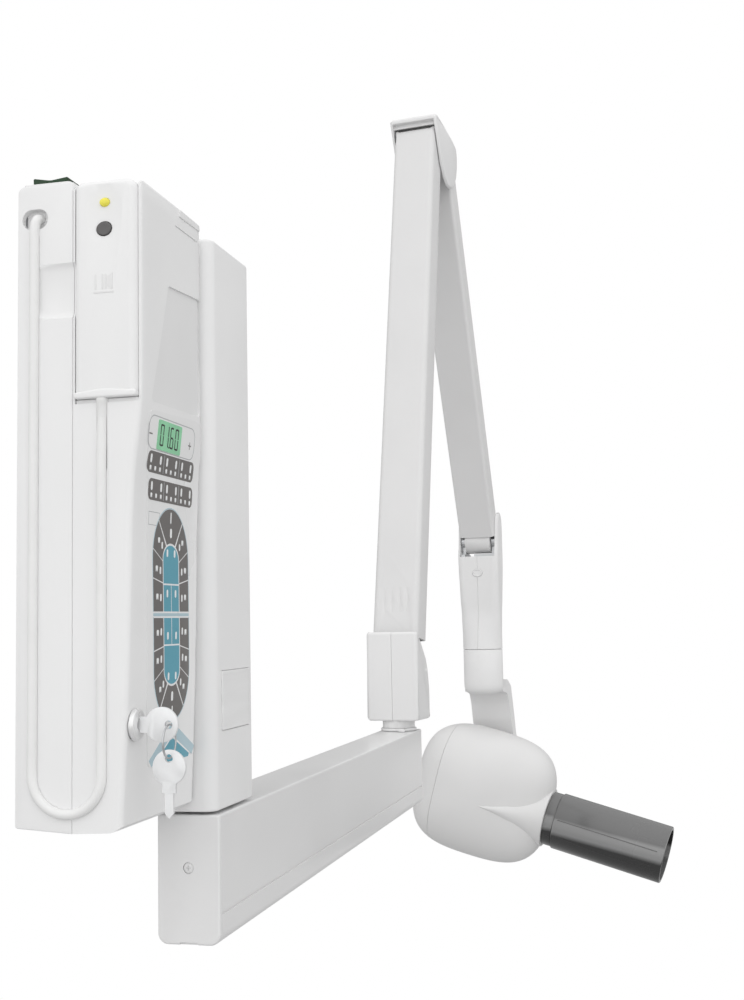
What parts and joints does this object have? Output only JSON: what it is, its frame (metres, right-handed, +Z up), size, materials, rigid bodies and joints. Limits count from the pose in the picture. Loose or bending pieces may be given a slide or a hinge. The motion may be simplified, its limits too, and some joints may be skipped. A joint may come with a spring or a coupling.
{
  "type": "wall-hung intraoral x-ray unit",
  "caption": "Wall-hung dental x-ray unit: keypad control unit with pull-out exposure handset, swinging extension arm, levelled scissor arm, and tube head on a swivelling yoke.",
  "frame": {"origin": "middle of the wall plate, on the wall plane", "axes": "+X along the wall to the right, +Y into the wall, +Z up; the unit stands out towards -Y"},
  "size_m": [1.21, 0.3566, 0.985],
  "materials": {
    "housing": "fine satin moulded surface",
    "arm_paint": "smooth light grey-white enamel",
    "steel": "machined",
    "bright_metal": "bright nickel plate",
    "badge": "satin, blank",
    "cone_plastic": "polished dark grey",
    "cable_rubber": "smooth white jacket",
    "keypad_film": "printed film, satin",
    "display": "lit display window",
    "dark_button": "fine matt",
    "switch_green": "translucent lit rocker",
    "lamp_yellow": "clear lens, lit",
    "circuit_board": "solder mask",
    "copper_winding": "enamelled wire",
    "lead": "dull",
    "filter_metal": "plain disc",
    "tube_glass": "clear"
  },
  "bodies": {
    "wall_unit": {"wall_plate": "steel", "hinge_block": "steel", "power_cover": "housing", "badge_plate": "badge", "mains_transformer": "copper_winding", "control_rear_shell": "housing", "control_front_cover": "housing", "keypad_membrane": "keypad_film", "display_window": "display", "control_board": "circuit_board", "lock_barrel": "bright_metal", "switch_bezel": "housing", "handset_cable": "cable_rubber"},
    "rocker": {"mains_rocker": "switch_green"},
    "handset": {"handset_front": "housing", "handset_back": "housing", "handset_lamp": "lamp_yellow", "strain_relief": "cable_rubber"},
    "button": {"exposure_button": "dark_button"},
    "key": {"lock_key": "bright_metal"},
    "key_bunch": {"key_ring": "bright_metal", "spare_key": "bright_metal"},
    "extension_arm": {"arm_extrusion": "arm_paint", "arm_end_cap": "housing", "arm_far_cap": "housing", "cap_screw": "steel", "swing_spindle": "steel", "column_socket": "arm_paint"},
    "column": {"column_yoke": "arm_paint", "collar_left": "housing", "collar_right": "housing", "lower_pivot_pin": "steel"},
    "lower_arm": {"lower_arm_tube": "arm_paint", "lower_arm_foot": "steel", "lower_arm_head": "steel", "lower_arm_spring_can": "steel"},
    "lower_rod": {"lower_level_rod": "steel"},
    "elbow": {"elbow_cover": "housing", "elbow_pin_lower": "steel", "elbow_pin_upper": "steel"},
    "upper_arm": {"upper_arm_channel": "arm_paint", "upper_arm_cover": "arm_paint", "upper_arm_head": "steel", "upper_arm_tongue": "arm_paint", "upper_arm_spring_can": "steel"},
    "upper_rod": {"upper_level_rod": "steel"},
    "wrist": {"wrist_left": "housing", "wrist_right": "housing", "wrist_core": "steel", "wrist_pin": "steel"},
    "yoke": {"yoke_casting": "arm_paint"},
    "tube_head": {"head_rear_shell": "housing", "head_front_shell": "housing", "cone_adapter": "cone_plastic", "cone_tube": "cone_plastic", "beam_window": "filter_metal", "collimator": "lead", "tube_insert": "tube_glass", "hv_transformer": "copper_winding", "head_trunnion": "steel"}
  },
  "joints": [
    {"name": "extension_swing", "type": "hinge", "parent": "wall_unit", "child": "extension_arm", "pos_m": [0.055, -0.0635, -0.185], "axis": [0, 0, 1], "range_deg": [-178, 2]},
    {"name": "column_turn", "type": "hinge", "parent": "extension_arm", "child": "column", "pos_m": [0.657, -0.0635, -0.185], "axis": [0, 0, 1], "range_deg": [-150, 150]},
    {"name": "lower_arm_tilt", "type": "hinge", "parent": "column", "child": "lower_arm", "pos_m": [0.657, -0.0635, -0.135], "axis": [0.1219, 0.9925, 0], "range_deg": [-9, 58]},
    {"name": "elbow_level", "type": "hinge", "parent": "lower_arm", "child": "elbow", "pos_m": [0.7768, -0.07821, 0.532], "axis": [0.1219, 0.9925, 0], "range_deg": [-58, 9]},
    {"name": "lower_rod_tilt", "type": "hinge", "parent": "column", "child": "lower_rod", "pos_m": [0.64951, -0.06258, -0.12975], "axis": [0.1219, 0.9925, 0], "range_deg": [-9, 58]},
    {"name": "upper_arm_tilt", "type": "hinge", "parent": "elbow", "child": "upper_arm", "pos_m": [0.82772, -0.08446, 0.52], "axis": [0.1219, 0.9925, 0], "range_deg": [-78, 22]},
    {"name": "wrist_level", "type": "hinge", "parent": "upper_arm", "child": "wrist", "pos_m": [1.01035, -0.10689, 0.037], "axis": [0.1219, 0.9925, 0], "range_deg": [-22, 78]},
    {"name": "upper_rod_tilt", "type": "hinge", "parent": "elbow", "child": "upper_rod", "pos_m": [0.83372, -0.0852, 0.52693], "axis": [0.1219, 0.9925, 0], "range_deg": [-78, 22]},
    {"name": "yoke_swivel", "type": "hinge", "parent": "wrist", "child": "yoke", "pos_m": [1.01035, -0.10689, -0.1125], "axis": [0, 0, 1], "range_deg": [-175, 175]},
    {"name": "head_tilt", "type": "hinge", "parent": "yoke", "child": "tube_head", "pos_m": [1.01071, -0.10391, -0.308], "axis": [0.9925, -0.1219, 0], "range_deg": [-65, 200]},
    {"name": "mains_rocker_tip", "type": "hinge", "parent": "wall_unit", "child": "rocker", "pos_m": [-0.0805, -0.018, 0.196], "axis": [1, 0, 0], "range_deg": [-16, 0]},
    {"name": "handset_lift", "type": "slide", "parent": "wall_unit", "child": "handset", "axis": [-1, 0, 0], "range_m": [0, 0.08]},
    {"name": "exposure_press", "type": "slide", "parent": "handset", "child": "button", "axis": [1, 0, 0], "range_m": [0, 0.0015], "stiffness_N_per_m": 300},
    {"name": "key_turn", "type": "hinge", "parent": "wall_unit", "child": "key", "pos_m": [-0.084, -0.075, -0.1275], "axis": [0, -1, 0], "range_deg": [0, 90]},
    {"name": "key_bunch_swing", "type": "hinge", "parent": "key", "child": "key_bunch", "pos_m": [-0.084, -0.0926, -0.1275], "axis": [1, 0, 0], "range_deg": [-25, 14]}
  ],
  "couplings": [
    {"joint": "elbow_level", "follows": "lower_arm_tilt", "ratio": -1},
    {"joint": "lower_rod_tilt", "follows": "lower_arm_tilt", "ratio": 1},
    {"joint": "wrist_level", "follows": "upper_arm_tilt", "ratio": -1},
    {"joint": "upper_rod_tilt", "follows": "upper_arm_tilt", "ratio": 1}
  ]
}
